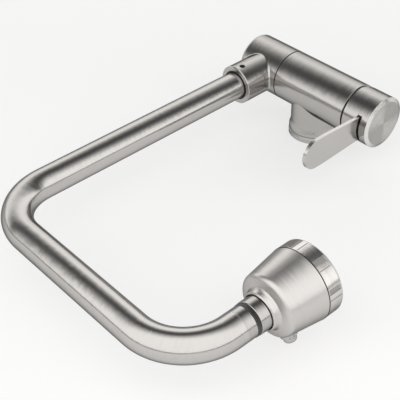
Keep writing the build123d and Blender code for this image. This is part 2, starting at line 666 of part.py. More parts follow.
opening_r = jet_bore + SLIP
nozzle_tip = front_end - NOZZLE_SINK
spray_plate = ring(HEAD_LINE, plate_start, plate_end, opening_r, plate_r)
nozzle_mat = ring(HEAD_LINE, mat_start, mat_end, opening_r + SLIP, plate_r - SEAT)
for row, count in enumerate(NOZZLE_COUNTS):
    far = opening_r + NOZZLE_MARGIN + row * NOZZLE_ROW
    plate_hole = hole_along(HEAD_LINE, plate_start - OVER, plate_end + OVER, NOZZLE_R + SEAT, far)
    nozzle = hole_along(HEAD_LINE, mat_start, nozzle_tip, NOZZLE_R, far)
    jet = hole_along(HEAD_LINE, mat_start - OVER, nozzle_tip + OVER, NOZZLE_HOLE_R, far)
    for number in range(count):
        spray_plate -= around(HEAD_LINE, plate_hole, number, count)
        nozzle_mat += around(HEAD_LINE, nozzle, number, count)
        nozzle_mat -= around(HEAD_LINE, jet, number, count)
keep("spray_plate", spray_plate)
keep("nozzle_mat", nozzle_mat)

# Aerator in the middle of the face
AERATOR_BACK = 2.0
AERATOR_SINK = 0.8
AERATOR_WALL = 1.2
MESH_THICK = 1.6
MESH_BAR = 0.7
MESH_STEP = 2.6

aerator_r = jet_bore - SEAT
aerator_start = core_floor + AERATOR_BACK
aerator_end = front_end - AERATOR_SINK
aerator = ring(HEAD_LINE, aerator_start, aerator_end, aerator_r - AERATOR_WALL, aerator_r)
aerator_limit = rod(HEAD_LINE, aerator_start, aerator_end, aerator_r)
for number in (-1, 0, 1):
    for turn in (0, 90):
        bar = Pos(aerator_end - MESH_THICK, 0, 0) * Rot(turn, 0, 0) * Pos(0, number * MESH_STEP, 0)
        bar = HEAD_LINE * bar * Box(MESH_THICK, MESH_BAR, 2 * aerator_r)
        aerator += bar & aerator_limit
keep("aerator_insert", aerator)

# Cartridge: gasket, base, fixed disc and housing
HOUSING_SPARE = 0.1
HOUSING_WALL = 3.0
HOUSING_MOUTH = 9.5
FIXED_SPARE = 0.9

housing_r = CHAMBER_R - HOUSING_SPARE
housing_bore = housing_r - HOUSING_WALL
fixed_r = housing_bore - FIXED_SPARE


def ported(start, end, radius):
    """A disc with the two inlet ports and the outlet port through it."""
    disc = rod(BODY_LINE, start, end, radius)
    for side in (-RISER_SIDE, RISER_SIDE):
        disc -= hole_along(BODY_LINE, start - OVER, end + OVER, PORT_R, -PORT_DROP, side)
    return disc - hole_along(BODY_LINE, start - OVER, end + OVER, OUTLET_R, OUTLET_RISE)


keep("cartridge_gasket", ported(FLOOR_X, gasket_end, housing_r))
keep("cartridge_base", ported(gasket_end, base_end, housing_r))
keep("fixed_disc", ported(base_end, fixed_end, fixed_r))
housing_points = [(base_end, housing_bore), (housing_lid, housing_bore), (housing_lid, HOUSING_MOUTH)]
housing_points += [(housing_end, HOUSING_MOUTH), (housing_end, housing_r), (base_end, housing_r)]
keep("cartridge_housing", turned(BODY_LINE, housing_points))

# Cartridge: moving disc, turntable and hinge pin
MOVING_R = 12.0
MOVING_FLAT = 9.0
CHANNEL_DEEP = 1.4
CHANNEL_R = 8.6
FOOT_BALL = 2.0
FOOT_SINK = 0.7
POCKET_SPARE = 0.15
PIN_ARM = 5.2
PIN_R = 1.5
PIN_HALF = 11.0
TABLE_SPARE = 0.2
SKIRT_GAP = 0.6
SKIRT_OUT = 12.4
SLOT_HALF = 3.2
SLOT_REACH = 5.2

foot_at = moving_end - FOOT_SINK
pin_at = foot_at + PIN_ARM
pin_point = (pin_at, 0, AXIS_Z)
table_r = housing_bore - TABLE_SPARE
moving_long = MOVING_THICK + OVER
moving_disc = rod(BODY_LINE, fixed_end + RUN / 2, moving_end, MOVING_R)
moving_disc &= Pos(fixed_end, 0, AXIS_Z) * Box(moving_long, 2 * MOVING_R, 2 * MOVING_FLAT, align=FROM_LEFT)
moving_disc -= rod(BODY_LINE, foot_at - FOOT_BALL - SEAT, moving_end + OVER, FOOT_BALL + POCKET_SPARE)
moving_disc -= rod(BODY_LINE, fixed_end, fixed_end + CHANNEL_DEEP, CHANNEL_R)
keep("moving_disc", moving_disc)

skirt_start = fixed_end + SKIRT_GAP
skirt_long = table_start - skirt_start + 2 * OVER
skirt_place = Pos(skirt_start - OVER, 0, AXIS_Z)
skirt = rod(BODY_LINE, skirt_start, table_start, table_r)
skirt -= skirt_place * Box(skirt_long, 2 * table_r, 2 * (MOVING_FLAT + SEAT), align=FROM_LEFT)
skirt &= skirt_place * Box(skirt_long, 2 * MOVING_FLAT, 2 * SKIRT_OUT, align=FROM_LEFT)
turntable = rod(BODY_LINE, table_start, table_end, table_r) + skirt
table_slot = Box(TABLE_THICK + 2 * OVER, 2 * SLOT_REACH, 2 * SLOT_HALF, align=FROM_LEFT)
turntable -= Pos(table_start - OVER, 0, AXIS_Z) * table_slot
hinge_pin = spoke(pin_point, UP, -PIN_HALF, PIN_HALF, PIN_R)
keep("turntable", turntable - hinge_pin)
keep("hinge_pin", hinge_pin)

# Cartridge nut and cover ring in the mouth of the body
NUT_BORE = 11.4
NUT_SLOT_WIDE = 4.0
NUT_SLOT_DEEP = 3.0
NUT_RIM = 1.2
COVER_SINK = 0.9
COVER_DEEP = 4.0
COVER_GAP = 0.6
COVER_BORE = 11.0
COVER_THICK = 1.2

cover_end = BODY_RIGHT - COVER_SINK
cover_start = cover_end - COVER_DEEP
nut_end = cover_start - COVER_GAP
cartridge_nut = ring(BODY_LINE, housing_end, nut_end, NUT_BORE, mouth_r)
slot_band = ring(BODY_LINE, nut_end - NUT_SLOT_DEEP, nut_end + OVER, NUT_BORE - OVER, mouth_r - NUT_RIM)
for turn in (0, 90):
    cross = Box(2 * (NUT_SLOT_DEEP + OVER), 2 * mouth_r, NUT_SLOT_WIDE)
    cartridge_nut -= slot_band & BODY_LINE * Pos(nut_end, 0, 0) * Rot(turn, 0, 0) * cross
keep("cartridge_nut", cartridge_nut)
cover_bend = cover_end - COVER_THICK
cover_inside = mouth_r - COVER_THICK
cover_points = [(cover_start, cover_inside), (cover_bend, cover_inside), (cover_bend, COVER_BORE)]
cover_points += [(cover_end, COVER_BORE), (cover_end, mouth_r), (cover_start, mouth_r)]
keep("cover_ring", turned(BODY_LINE, cover_points))

# Handle stem, which rocks on the hinge pin
STEM_FOOT_R = 1.5
STEM_FOOT_PAST = 0.7
STEM_LOW_R = 3.0
STEM_LOW_PAST = 1.2
STEM_R = 4.0
STEM_SHORT = 3.5
CAP_FACE = 3.4

cap_start = BODY_RIGHT + CAP_GAP
cap_end = cap_start + CAP_LONG
cap_floor = cap_end - CAP_FACE
stem_top = cap_floor - STEM_SHORT
stem_foot_end = table_start + STEM_FOOT_PAST
stem_low_end = table_end + STEM_LOW_PAST
control_stem = Pos(foot_at, 0, AXIS_Z) * Sphere(FOOT_BALL)
control_stem += rod(BODY_LINE, foot_at, stem_foot_end, STEM_FOOT_R)
control_stem += rod(BODY_LINE, stem_foot_end, stem_low_end, STEM_LOW_R)
control_stem += rod(BODY_LINE, stem_low_end, stem_top, STEM_R)
control_stem -= spoke(pin_point, UP, -STEM_R, STEM_R, PIN_R + RUN)
keep("control_stem", control_stem)

# Handle cap, cut away on its far side so that the handle can tilt
TILT = 15.0
TILT_SPARE = 1.0
CAP_WALL = 2.5
CAP_BEVEL = 3.2
CAP_BEVEL_DEEP = 1.5
HUB_LONG = 16.5
HUB_R = 9.0
HUB_GRUB_LEAD = 4.2
HUB_GRUB_SHORT = 0.6
SOCKET_SPARE = 1.0
ACCESS_R = 2.8
BLADE_BACK = 11.9
BLADE_THICK = 3.0
BLADE_ROOT = 6.2
BLADE_INNER_HALF = 8.6
BLADE_STEP_BACK = 0.7
BLADE_HALF = 11.0
BLADE_WIDE = 13.2
BLADE_WIDEST = 62.0
BLADE_TIP = 84.2
SLOT_SIDE = 0.2
SLOT_FRONT = 1.2
SLOT_ENDS = 0.8

cap_bore = BODY_R - CAP_WALL
blade_x = cap_end - BLADE_BACK
hub_start = cap_floor - HUB_LONG
hub_point = (hub_start + HUB_GRUB_LEAD, 0, AXIS_Z)
cap_points = [(cap_start, cap_bore), (cap_floor, cap_bore), (cap_floor, 0), (cap_end, 0)]
cap_points += [(cap_end, BODY_R - CAP_BEVEL), (cap_end - CAP_BEVEL_DEEP, BODY_R)]
cap_points += [(cap_start + SEAM_EDGE, BODY_R), (cap_start, BODY_R - SEAM_EDGE)]
handle_cap = turned(BODY_LINE, cap_points)
slot_long = SLOT_SIDE + BLADE_THICK + SLOT_FRONT
slot = Box(slot_long, BODY_R + OVER, 2 * (BLADE_HALF + SLOT_ENDS), align=FROM_LEFT_TO_USER)
handle_cap -= Pos(blade_x - SLOT_SIDE, 0, AXIS_Z) * slot
far_side = BODY_R + OVER
relief_reach = cap_start + far_side * tan(radians(TILT + TILT_SPARE))
relief_points = [(BODY_RIGHT, 0), (cap_start, 0), (relief_reach, far_side), (BODY_RIGHT, far_side)]
relief = make_face(Polyline(*relief_points, close=True))
handle_cap -= Pos(0, 0, AXIS_Z) * extrude(relief, far_side, both=True)
handle_cap -= spoke(hub_point, DOWN, cap_bore - OVER, BODY_R + OVER, ACCESS_R)
keep("handle_cap", handle_cap)

# Handle hub that joins the cap, the blade and the stem
handle_hub = bevelled(BODY_LINE, hub_start, cap_floor, STEM_R + RUN, HUB_R, EDGE)
handle_hub += rod(BODY_LINE, stem_top + SOCKET_SPARE, cap_floor, HUB_R - EDGE)
blade_seat = Box(BLADE_THICK, HUB_R, 2 * HUB_R, align=FROM_LEFT_TO_USER)
handle_hub -= Pos(blade_x, -BLADE_ROOT, AXIS_Z) * blade_seat
handle_hub -= spoke(hub_point, DOWN, STEM_R, HUB_R + OVER, GRUB_R)
keep("handle_hub", handle_hub)

hub_grub_end = HUB_R - HUB_GRUB_SHORT
handle_grub = spoke(hub_point, DOWN, STEM_R + RUN, hub_grub_end, GRUB_R)
handle_grub -= hex_pocket(hub_point, DOWN, hub_grub_end - GRUB_KEY_DEEP, GRUB_KEY_DEEP + OVER, GRUB_KEY)
keep("handle_grub_screw", handle_grub)

# Lever blade: a flat plate, a little wider towards its round tip
blade_plane = Plane(origin=(blade_x, 0, AXIS_Z), x_dir=(0, -1, 0), z_dir=(1, 0, 0))
tip_middle = BLADE_TIP - BLADE_WIDE
blade_step = sqrt(cap_bore**2 - BLADE_INNER_HALF**2) - BLADE_STEP_BACK
blade_side = [(BLADE_ROOT, BLADE_INNER_HALF), (blade_step, BLADE_INNER_HALF), (blade_step + EDGE, BLADE_HALF)]
blade_side += [(BLADE_WIDEST, BLADE_WIDE), (tip_middle, BLADE_WIDE)]
blade_points = blade_side + [(along, -across) for along, across in reversed(blade_side)]
blade_face = make_face(Polyline(*blade_points, close=True)) + Pos(tip_middle, 0) * Circle(BLADE_WIDE)
keep("lever_blade", blade_plane * extrude(blade_face, BLADE_THICK))
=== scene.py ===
# %% [markdown]
# This lesson dresses a folding caravan tap. The solids come from the CAD model, in metres, with the base
# standing on the floor at the origin, the handle towards +X and the user on the -Y side. Most of the tap is
# turned steel whose shape is already right, so the work here is in the finishes, in two pieces that
# follow a rule (the bent spout and the knurled ring), and in a light that suits bare metal.

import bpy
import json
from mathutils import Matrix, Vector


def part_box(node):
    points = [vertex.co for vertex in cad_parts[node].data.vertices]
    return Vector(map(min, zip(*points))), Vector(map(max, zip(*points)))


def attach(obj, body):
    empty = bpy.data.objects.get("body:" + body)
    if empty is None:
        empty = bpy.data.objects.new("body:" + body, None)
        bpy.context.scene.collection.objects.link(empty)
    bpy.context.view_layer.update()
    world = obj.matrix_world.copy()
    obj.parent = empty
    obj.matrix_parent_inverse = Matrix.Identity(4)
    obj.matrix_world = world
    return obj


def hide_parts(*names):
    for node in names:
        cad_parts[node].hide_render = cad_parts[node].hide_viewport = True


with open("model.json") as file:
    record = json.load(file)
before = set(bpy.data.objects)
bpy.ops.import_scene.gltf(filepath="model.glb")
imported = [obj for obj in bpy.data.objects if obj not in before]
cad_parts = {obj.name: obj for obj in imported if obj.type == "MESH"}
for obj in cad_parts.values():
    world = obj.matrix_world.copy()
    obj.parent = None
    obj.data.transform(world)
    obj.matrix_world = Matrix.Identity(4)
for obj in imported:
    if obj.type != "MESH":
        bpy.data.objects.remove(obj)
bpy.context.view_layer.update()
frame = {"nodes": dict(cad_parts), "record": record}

# %% Blender's own modules
import json
import math

import bmesh
import bpy
from mathutils import Matrix, Vector

# %% [markdown]
# Every finish below turns round a line of the tap: the body's line, the collar's line, the spout
# head's line or the base's line. Naming these lines once keeps the grain of each turned piece centred.

# %% The lines that the tap is turned on
AXIS_HEIGHT = 0.044
COLLAR_X = -0.0525
HEAD_X = 0.1575
REACH = 0.293
TUBE_RADIUS = 0.012
TUBE_WALL = 0.0015
BEND_RADIUS = 0.043
TUBE_START = 0.044
TUBE_END = 0.0485
BODY_CENTRE = (0, 0, AXIS_HEIGHT)
COLLAR_CENTRE = (COLLAR_X, 0, AXIS_HEIGHT)
HEAD_CENTRE = (HEAD_X, -REACH, AXIS_HEIGHT)
ALONG_X = (1, 0, 0)
ALONG_Y = (0, 1, 0)
ALONG_Z = (0, 0, 1)
BASE_LINE = ((0, 0, 0), ALONG_Z)
BODY_LINE = (BODY_CENTRE, ALONG_X)
COLLAR_LINE = (COLLAR_CENTRE, ALONG_Y)
HEAD_LINE = (HEAD_CENTRE, ALONG_Y)

body_of_node = {
    node: body for body, nodes in frame["record"]["behaviour"]["bodies"].items() for node in nodes
}

# %% [markdown]
# A finish is a small network of nodes. Wiring it by hand hides the idea behind it, so a Wire stands for
# one output of a node and can be used in an ordinary sum, and a Bench makes the nodes on one tree.

# %% Wires and the bench that joins them
MIDDLE = 0.5


class Wire:
    """One output of a node. A sum or a product on it adds a Math node."""

    def __init__(self, bench, socket):
        self.bench = bench
        self.socket = socket

    def __add__(self, other):
        return self.bench.maths("ADD", self, other)

    def __radd__(self, other):
        return self.bench.maths("ADD", other, self)

    def __sub__(self, other):
        return self.bench.maths("SUBTRACT", self, other)

    def __rsub__(self, other):
        return self.bench.maths("SUBTRACT", other, self)

    def __mul__(self, other):
        return self.bench.maths("MULTIPLY", self, other)

    def __neg__(self):
        return self.bench.maths("MULTIPLY", self, -1)


class Bench:
    """Makes and joins the nodes of one material or of the world."""

    def __init__(self, tree):
        self.tree = tree
        tree.nodes.clear()

    def join(self, socket, value):
        if isinstance(value, Wire):
            self.tree.links.new(value.socket, socket)
        elif hasattr(socket.default_value, "__len__") and len(socket.default_value) == 4 and len(value) == 3:
            socket.default_value = (*value, 1)
        else:
            socket.default_value = value

    def node(self, kind, settings=None, inputs=None, output=0):
        made = self.tree.nodes.new(kind)
        for name, value in (settings or {}).items():
            setattr(made, name, value)
        for name, value in (inputs or {}).items():
            self.join(made.inputs[name], value)
        return Wire(self, made.outputs[output]) if len(made.outputs) else None

    def maths(self, operation, *values):
        return self.node("ShaderNodeMath", {"operation": operation}, dict(enumerate(values)))

    def vector(self, operation, *values, output=0):
        return self.node("ShaderNodeVectorMath", {"operation": operation}, dict(enumerate(values)), output)

    def dot(self, first, second):
        return self.vector("DOT_PRODUCT", first, second, output=1)

    def stretched(self, vector, size):
        return self.node("ShaderNodeVectorMath", {"operation": "SCALE"}, {0: vector, 3: size})

    def packed(self, x, y, z):
        return self.node("ShaderNodeCombineXYZ", None, {0: x, 1: y, 2: z})

    def parts(self, vector):
        split = self.node("ShaderNodeSeparateXYZ", None, {0: vector}).socket.node
        return [Wire(self, output) for output in split.outputs]

    def rise(self, value, low, high):
        """0 below low, 1 above high, and a soft slope between."""
        settings = {"interpolation_type": "SMOOTHSTEP"}
        return self.node("ShaderNodeMapRange", settings, {"Value": value, "From Min": low, "From Max": high})

    def blended(self, share, first, second):
        """Two colours mixed by a share from 0 to 1."""
        return self.node("ShaderNodeMix", {"data_type": "RGBA"}, {0: share, 6: first, 7: second}, 2)

    def blended_ways(self, share, first, second):
        """Two vectors mixed by a share from 0 to 1."""
        return self.node("ShaderNodeMix", {"data_type": "VECTOR"}, {0: share, 4: first, 5: second}, 1)

    def noise(self, vector, scale=1.0, detail=3.0):
        """Soft noise that runs from about -0.5 to 0.5."""
        inputs = {"Vector": vector, "Scale": scale, "Detail": detail}
        return self.node("ShaderNodeTexNoise", None, inputs) - MIDDLE

    def place(self):
        """The point being shaded, in the tap's own frame."""
        return self.node("ShaderNodeTexCoord", output="Object")

    def turned_to(self, vector, start, end):
        settings = {"vector_type": "VECTOR", "convert_from": start, "convert_to": end}
        return self.node("ShaderNodeVectorTransform", settings, {0: vector})

    def facing(self):
        """The way the surface faces, in the tap's own frame."""
        return self.turned_to(self.node("ShaderNodeNewGeometry", output="Normal"), "WORLD", "OBJECT")

    def from_line(self, centre, axis):
        """How far along a line the point lies, and the way from the line straight out to it."""
        out = self.vector("SUBTRACT", self.place(), centre)
        along = self.dot(out, axis)
        return along, self.vector("SUBTRACT", out, self.stretched(axis, along))


print("Bench ready")

# %% [markdown]
# Each finish ends in one Principled shader. Values that are the same all over go straight on its sockets,
# and only colour, roughness and the normal are fed by nodes, because those are what changes over a surface.

# %% Close a finish with its shader
def surface(bench, colour, roughness, normal=None, **steady):
    inputs = {"Base Color": colour, "Roughness": roughness}
    if normal is not None:
        inputs["Normal"] = normal
    inputs.update({name.replace("_", " "): value for name, value in steady.items()})
    shader = bench.node("ShaderNodeBsdfPrincipled", None, inputs)
    bench.node("ShaderNodeOutputMaterial", None, {"Surface": shader})


def new_finish(name):
    material = bpy.data.materials.new(name)
    material.use_nodes = True
    return material, Bench(material.node_tree)


print("Finishes can be closed")

# %% [markdown]
# Satin steel is turned against fine grit, so its surface is a bundle of tiny grooves that run round each
# piece. The grooves scatter light across themselves and hardly along themselves, which is why bright and
# dark bands stay sharp along a tube and why a turned end face shows fans of light. An anisotropic
# shader could do this, but tilting the normal across the grooves with very fine noise also works on
# cones, bends and end faces with no tangent map, so that way is used.

# %% Grain that runs round a turned piece
END_FAN = 3.5
END_STARTS = (0.93, 0.99)


def grain_round(bench, centre, axis, fan=1.0):
    """The way across the grooves, as long as its fan is wide, a place that changes only across them, and
    a place that changes slowly along them."""
    along, out = bench.from_line(centre, axis)
    radius = bench.vector("LENGTH", out, output=1)
    spoke = bench.vector("NORMALIZE", out)
    facing = bench.facing()
    ring_way = bench.vector("CROSS_PRODUCT", axis, spoke)
    across = bench.vector("NORMALIZE", bench.vector("CROSS_PRODUCT", ring_way, facing))
    on_end = bench.rise(bench.maths("ABSOLUTE", bench.dot(facing, axis)), *END_STARTS)
    across = bench.stretched(across, fan + on_end * END_FAN)
    return across, bench.packed(along, radius, 0), spoke


def grain_about(line, fan=1.0):
    """A grain for a finish: round one line, with its fan so many times as wide."""
    return lambda bench: grain_round(bench, *line, fan)


# %% Grain that runs round a swept tube
def grain_on_sweep(bench):
    """The same three for the spout, whose mesh carries the way along it and the distance along it."""
    along_way = bench.node("ShaderNodeAttribute", {"attribute_name": "lay"}, output="Vector")
    run = bench.node("ShaderNodeAttribute", {"attribute_name": "run"}, output="Fac")
    return bench.vector("NORMALIZE", along_way), bench.packed(run, 0, 0), bench.facing()


# %% Grain that runs straight
STRAIGHT_DRIFT = 20.0


def grain_straight(bench, axis):
    """The same three for a flat piece that was rubbed along one line."""
    place = bench.place()
    across = bench.vector("NORMALIZE", bench.vector("CROSS_PRODUCT", axis, bench.facing()))
    flat = bench.vector("SUBTRACT", place, bench.stretched(axis, bench.dot(place, axis)))
    return across, flat, bench.stretched(place, STRAIGHT_DRIFT)


print("Three kinds of grain")

# %% [markdown]
# On top of the grooves, real satin steel has three slower changes: bands a few millimetres wide where the
# grit bit harder, cloudy patches from handling, and a faint unevenness of the surface itself. They are
# what keeps a long tube from looking like plastic.

# %% Satin steel
STEEL_LIGHT = (0.530, 0.515, 0.500)
STEEL_DARK = (0.430, 0.416, 0.402)
# The rim tint darkens the steel's reflections towards grazing angles: painted shade along every rim.
STEEL_RIM_PAINTED_SHADE = (0.2, 0.2, 0.2)
BASE_FAN = 1.5
GROOVES = 13000.0
GROOVE_DRIFT = 2.5
BANDS = 900.0
CLOUDS = 45.0
UNEVEN = 90.0
BANDS_SHARE = 0.4
CLOUDS_SHARE = 0.3
ROUGH_CHANGE = 0.03
UNEVEN_STRENGTH = 0.1
UNEVEN_DEPTH = 0.0003


def satin_steel(name, grain, tilt=0.18, rough=0.18, painted_light_factor=1.0, patches=()):
    """grain is a function of the bench that gives the way across, the groove place and a slow place.
    A patch is a share function of the bench, then the colour and the roughness that it leads to."""
    material, bench = new_finish(name)
    across, groove_place, slow_place = grain(bench)
    drift = bench.stretched(slow_place, GROOVE_DRIFT)
    fine = bench.noise(bench.vector("ADD", bench.stretched(groove_place, GROOVES), drift), detail=1.0)
    bands = bench.noise(bench.vector("ADD", bench.stretched(groove_place, BANDS), slow_place))
    clouds = bench.noise(bench.place(), CLOUDS, detail=4.0)
    uneven = bench.noise(bench.place(), UNEVEN, detail=1.0)
    share = MIDDLE + bands * BANDS_SHARE + clouds * CLOUDS_SHARE + fine
    # A factor over 1 lightens the steel on pieces that catch more light, which is painted light; at 1 the
    # steel keeps its own colour.
    light = tuple(painted_light_factor * part for part in STEEL_LIGHT)
    dark = tuple(painted_light_factor * part for part in STEEL_DARK)
    colour = bench.blended(share, dark, light)
    roughness = rough + bands * ROUGH_CHANGE + clouds * ROUGH_CHANGE
    for share_function, patch_colour, patch_rough in patches:
        patch_share = share_function(bench)
        colour = bench.blended(patch_share, colour, patch_colour)
        roughness = roughness + patch_share * (patch_rough - rough)
    bump = {"Strength": UNEVEN_STRENGTH, "Distance": UNEVEN_DEPTH, "Height": uneven}
    bumped = bench.node("ShaderNodeBump", None, bump)
    leaning = bench.turned_to(bench.stretched(across, fine * (2 * tilt)), "OBJECT", "WORLD")
    normal = bench.vector("NORMALIZE", bench.vector("ADD", bumped, leaning))
    # The dark rim tint is painted shade on the steel's grazing reflections.
    surface(bench, colour, roughness, normal, Metallic=1.0, Specular_Tint=(*STEEL_RIM_PAINTED_SHADE, 1))
    return material


steel_on_body = satin_steel("satin_steel_on_body", grain_about(BODY_LINE))
steel_on_base = satin_steel("satin_steel_on_base", grain_about(BASE_LINE, BASE_FAN))
steel_on_head = satin_steel("satin_steel_on_head", grain_about(HEAD_LINE))
# The spout's steel is lightened 1.12 times as painted light.
steel_on_spout = satin_steel("satin_steel_on_spout", grain_on_sweep, painted_light_factor=1.12)
# The blade's steel is lightened 1.25 times as painted light.
steel_on_blade = satin_steel(
    "satin_steel_on_blade", lambda bench: grain_straight(bench, ALONG_Y), tilt=0.3, rough=0.2, painted_light_factor=1.25)
print("Satin steel for", len(bpy.data.materials), "directions")

# %% [markdown]
# Two castings change direction half way: the body has a neck that was turned on the base's line, and the
# swivel barrel has a collar that was turned on the collar's own line. Their grain is picked by place, with
# a narrow blend where the two cylinders meet. The dark line in the thin seam between two pieces is painted
# shade, a patch found by its place along the axis.

# %% Grain on the two crossed pieces
NECK_TOP = 0.0245
COLLAR_FROM = 0.0226
MEETING = 0.0012
# The seam's dark grey is painted shade, where the gap between two pieces lies in shadow.
SEAM_PAINTED_SHADE = (0.05, 0.048, 0.046)
SEAM_ROUGH = 0.5
BARREL_SEAM_HALF = 0.0004
RING_SEAM_HALF = 0.00025


def grain_crossed(first_grain, second_grain, first_share):
    """A grain for a finish: the first where first_share is 1, and the second where it is 0."""
    def grain(bench):
        first, second, share = first_grain(bench), second_grain(bench), first_share(bench)
        return [bench.blended_ways(share, other, one) for one, other in zip(first, second)]

    return grain


def share_in_neck(bench):
    height = bench.parts(bench.place())[2]
    return 1 - bench.rise(height, NECK_TOP - MEETING, NECK_TOP)


def share_in_collar(bench):
    towards_user = -bench.parts(bench.place())[1]
    return bench.rise(towards_user, COLLAR_FROM - MEETING, COLLAR_FROM)


def painted_shade_in_seam(first, second, axis_number, half):
    """The patch of painted shade in the thin seam between two pieces that meet along an axis."""
    middle = (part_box(first)[1][axis_number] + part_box(second)[0][axis_number]) / 2

    def share(bench):
        off_seam = bench.maths("ABSOLUTE", bench.parts(bench.place())[axis_number] - middle)
        return 1 - bench.rise(off_seam, half, 2 * half)

    return share, SEAM_PAINTED_SHADE, SEAM_ROUGH


# Painted shade along the seam at the barrel and along the seam at the spray head's front ring.
barrel_seam = painted_shade_in_seam("swivel_barrel", "valve_body", axis_number=0, half=BARREL_SEAM_HALF)
ring_seam = painted_shade_in_seam("head_shell", "front_ring", axis_number=1, half=RING_SEAM_HALF)
neck_and_body = grain_crossed(grain_about(BASE_LINE, BASE_FAN), grain_about(BODY_LINE), share_in_neck)
collar_and_barrel = grain_crossed(grain_about(COLLAR_LINE), grain_about(BODY_LINE), share_in_collar)
steel_neck_and_body = satin_steel("satin_steel_neck_and_body", neck_and_body, patches=(barrel_seam,))
steel_collar_and_barrel = satin_steel(
    "satin_steel_collar_and_barrel", collar_and_barrel, patches=(barrel_seam,))
print("Crossed grain done")

# %% [markdown]
# Three pieces have a spot that was finished another way. The cap's edge bevel was cut last and polished
# smoother, and its colour is a painted highlight, brighter than the steel. The shallow grips milled in the
# front ring were blasted to a matt grey, and the spray head's back was rubbed by hand, so it is softer than
# the cone. Each is found by
# shape: the bevel and the back by the way they face, and the grips by lying a little nearer the axis than the
# ring does. The cap's turned end also gets two faint fans of painted highlight in its colour, because under
# even light the grooves alone hardly show them.
# A name that ends in STARTS or ENDS holds two cosines of the angle between the way a face looks and the
# axis: where the share begins to change and where it has changed.

# %% The bevel and fans with painted highlights, the matt grips and the soft back
# The bevel's bright colour and the cap's two fans are painted highlights; the bevel's lower roughness is its
# polish.
BEVEL_PAINTED_HIGHLIGHT = (0.76, 0.745, 0.73)
BEVEL_ROUGH = 0.15
BEVEL_STARTS = (0.84, 0.88)
BEVEL_ENDS = (0.93, 0.96)
PAINTED_FANS_STARTS = (0.96, 0.99)
PAINTED_FAN_SPREAD = (-0.6, 1.0)
PAINTED_FAN_SHARE = 0.65
GRIP_GREY = (0.40, 0.39, 0.38)
GRIP_ROUGH = 0.55
GRIP_SINK = 0.0002
GRIP_LAND = 0.0015
BACK_TONE = (0.50, 0.485, 0.47)
BACK_ROUGH = 0.42
BACK_STARTS = (0.35, 0.75)

ring_low, ring_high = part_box("front_ring")
ring_radius = (ring_high.x - ring_low.x) / 2
ring_rim = ring_high.y - GRIP_LAND


def share_of_painted_highlights(bench):
    """The bevel, and the two fans on the flat end inside it, where a painted highlight goes."""
    along = bench.dot(bench.facing(), ALONG_X)
    spoke = bench.vector("NORMALIZE", bench.from_line(*BODY_LINE)[1])
    _, y, z = bench.parts(spoke)
    # The two fans are a painted highlight on the cap's flat end.
    fans = bench.rise(y * z * -2, *PAINTED_FAN_SPREAD) * bench.rise(along, *PAINTED_FANS_STARTS)
    bevel = bench.rise(along, *BEVEL_STARTS) * (1 - bench.rise(along, *BEVEL_ENDS))
    return bevel + fans * PAINTED_FAN_SHARE


def share_on_back(bench):
    return bench.rise(bench.dot(bench.facing(), ALONG_Y), *BACK_STARTS)


def share_in_grips(bench):
    radius = bench.vector("LENGTH", bench.from_line(*HEAD_LINE)[1], output=1)
    sunk = 1 - bench.rise(radius, ring_radius - GRIP_SINK, ring_radius - GRIP_SINK / 2)
    return sunk * (1 - bench.rise(bench.parts(bench.place())[1], ring_rim - MEETING, ring_rim))


# The cap's bevel and its two fans carry a painted highlight.
steel_on_cap = satin_steel(
    "satin_steel_on_cap", grain_about(BODY_LINE), patches=((share_of_painted_highlights, BEVEL_PAINTED_HIGHLIGHT, BEVEL_ROUGH),))
# The ring's steel is lightened 1.4 times as painted light.
steel_on_ring = satin_steel(
    "satin_steel_on_ring", grain_about(HEAD_LINE), painted_light_factor=1.4,
    patches=((share_in_grips, GRIP_GREY, GRIP_ROUGH), ring_seam))
# The shell's steel is lightened 1.25 times as painted light; its rougher back keeps about the steel's plain
# colour.
steel_on_shell = satin_steel(
    "satin_steel_on_shell", grain_about(HEAD_LINE), tilt=0.24, rough=0.32, painted_light_factor=1.25,
    patches=((share_on_back, BACK_TONE, BACK_ROUGH), ring_seam))
print("Bevel, fans, grips and back done")

# %% [markdown]
# The other metals are plainer: turned brass in the cartridge and the ball joint, bright plain steel for
# spindles and screws, and blackened steel for the grub screws and the knurled grip, which are the dark
# spots in the photograph. They use the same idea with coarser turning marks.

# %% Brass, plain steel and blackened steel
MARKS = 2500.0
MARKS_SHARE = 1.2
MARKS_TILT = 0.25
STAINS = 80.0
STAINS_ROUGH = 0.1


def turned_metal(name, metal, line):
    """A metal is its light colour, its dark colour and its roughness."""
    light, dark, rough = metal
    material, bench = new_finish(name)
    across, groove_place, spoke = grain_round(bench, *line)
    marks = bench.noise(bench.vector("ADD", bench.stretched(groove_place, MARKS), spoke), detail=2.0)
    stains = bench.noise(bench.place(), STAINS)
    colour = bench.blended(MIDDLE + marks * MARKS_SHARE + stains, dark, light)
    leaning = bench.turned_to(bench.stretched(across, marks * MARKS_TILT), "OBJECT", "WORLD")
    facing = bench.node("ShaderNodeNewGeometry", output="Normal")
    normal = bench.vector("NORMALIZE", bench.vector("ADD", facing, leaning))
    surface(bench, colour, rough + stains * STAINS_ROUGH, normal, Metallic=1.0)
    return material


